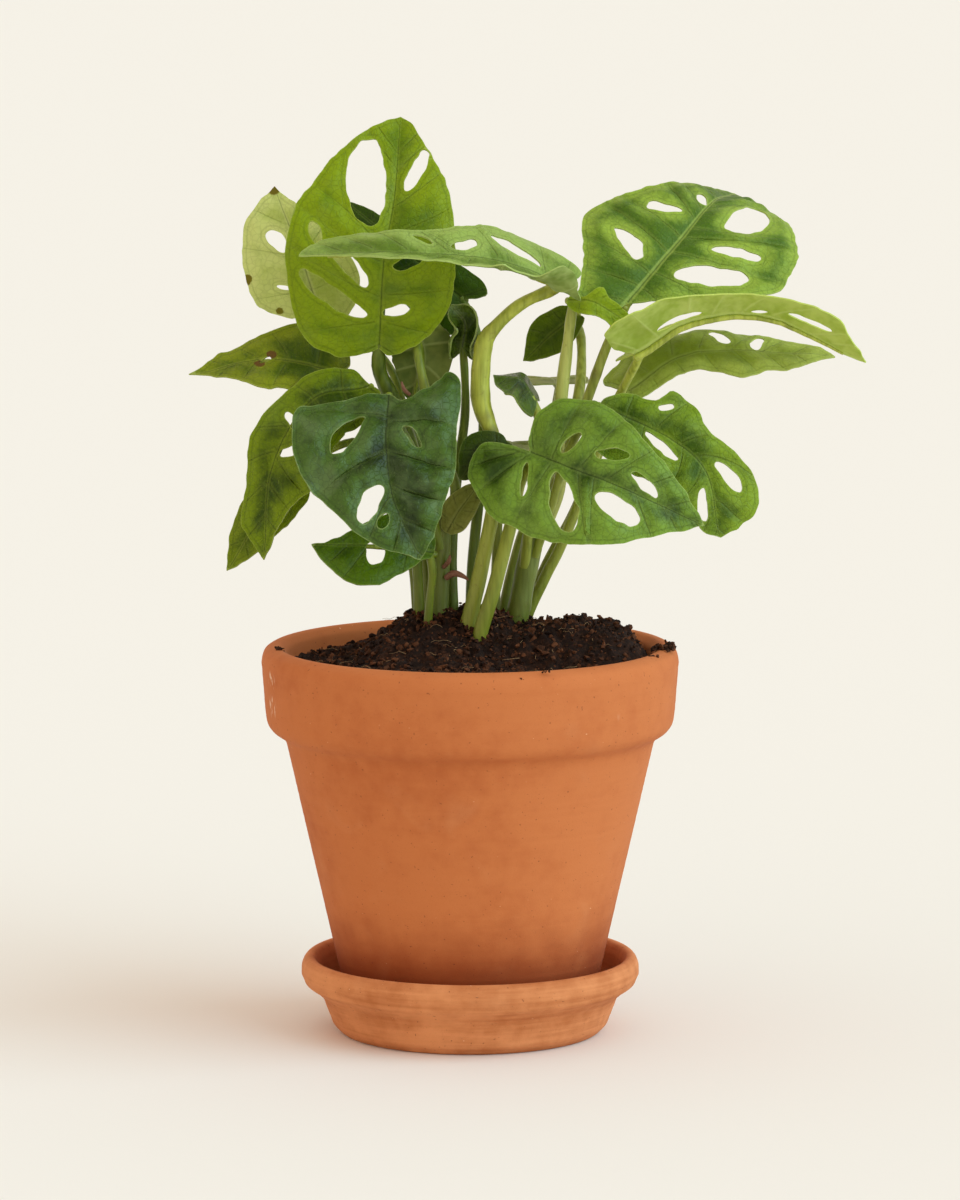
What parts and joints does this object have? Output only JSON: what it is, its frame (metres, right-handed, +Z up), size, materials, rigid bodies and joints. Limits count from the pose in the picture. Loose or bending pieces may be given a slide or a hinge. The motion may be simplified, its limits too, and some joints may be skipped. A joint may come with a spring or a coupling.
{
  "type": "potted monstera adansonii plant",
  "caption": "Potted monstera adansonii: pierced leaves on long stalks in soil, in a turned terracotta pot that rests on its saucer.",
  "frame": {"origin": "centre of the saucer's underside, on the surface that it stands on", "axes": "+Z up along the pot's axis, -Y towards the front of the plant, +X to its right"},
  "size_m": [0.2531, 0.1625, 0.3442],
  "materials": {
    "terracotta": "unglazed terracotta, turned, matt",
    "soil": "dark crumbly potting soil with pale fibres",
    "stalk": "smooth green plant stem",
    "leaf_arching_left": "waxy green leaf with sunken veins",
    "leaf_behind_right": "waxy green leaf with sunken veins",
    "leaf_bright_centre": "waxy green leaf with sunken veins",
    "leaf_broad_right": "waxy green leaf with sunken veins",
    "leaf_curled_young": "waxy green leaf with sunken veins",
    "leaf_folded_young": "waxy green leaf with sunken veins",
    "leaf_front_left": "waxy green leaf with sunken veins",
    "leaf_front_right": "waxy green leaf with sunken veins",
    "leaf_hanging_left": "waxy green leaf with sunken veins",
    "leaf_hanging_middle": "waxy green leaf with sunken veins",
    "leaf_high_back": "waxy green leaf with sunken veins",
    "leaf_level_front": "waxy green leaf with sunken veins",
    "leaf_level_right": "waxy green leaf with sunken veins",
    "leaf_low_back": "waxy green leaf with sunken veins",
    "leaf_low_front": "waxy green leaf with sunken veins",
    "leaf_low_right": "waxy green leaf with sunken veins",
    "leaf_olive_back": "waxy green leaf with sunken veins",
    "leaf_pale_left": "waxy green leaf with sunken veins",
    "leaf_pointed_left": "waxy green leaf with sunken veins",
    "leaf_shaded_middle": "waxy green leaf with sunken veins",
    "leaf_sheath": "waxy green leaf with sunken veins",
    "leaf_small_middle": "waxy green leaf with sunken veins",
    "leaf_upright": "waxy green leaf with sunken veins"
  },
  "bodies": {
    "root": {"blade_arching_left": "leaf_arching_left", "blade_behind_right": "leaf_behind_right", "blade_bright_centre": "leaf_bright_centre", "blade_broad_right": "leaf_broad_right", "blade_curled_young": "leaf_curled_young", "blade_folded_young": "leaf_folded_young", "blade_front_left": "leaf_front_left", "blade_front_right": "leaf_front_right", "blade_hanging_left": "leaf_hanging_left", "blade_hanging_middle": "leaf_hanging_middle", "blade_high_back": "leaf_high_back", "blade_level_front": "leaf_level_front", "blade_level_right": "leaf_level_right", "blade_low_back": "leaf_low_back", "blade_low_front": "leaf_low_front", "blade_low_right": "leaf_low_right", "blade_olive_back": "leaf_olive_back", "blade_pale_left": "leaf_pale_left", "blade_pointed_left": "leaf_pointed_left", "blade_shaded_middle": "leaf_shaded_middle", "blade_sheath": "leaf_sheath", "blade_small_middle": "leaf_small_middle", "blade_upright": "leaf_upright", "cane_left": "stalk", "cane_right": "stalk", "pot": "terracotta", "saucer": "terracotta", "soil": "soil", "stalk_arching_left": "stalk", "stalk_behind_right": "stalk", "stalk_bright_centre": "stalk", "stalk_broad_right": "stalk", "stalk_curled_young": "stalk", "stalk_folded_young": "stalk", "stalk_front_left": "stalk", "stalk_front_right": "stalk", "stalk_hanging_left": "stalk", "stalk_hanging_middle": "stalk", "stalk_high_back": "stalk", "stalk_level_front": "stalk", "stalk_level_right": "stalk", "stalk_low_back": "stalk", "stalk_low_front": "stalk", "stalk_low_right": "stalk", "stalk_olive_back": "stalk", "stalk_pale_left": "stalk", "stalk_pointed_left": "stalk", "stalk_shaded_middle": "stalk", "stalk_small_middle": "stalk", "stalk_upright": "stalk"}
  },
  "joints": []
}
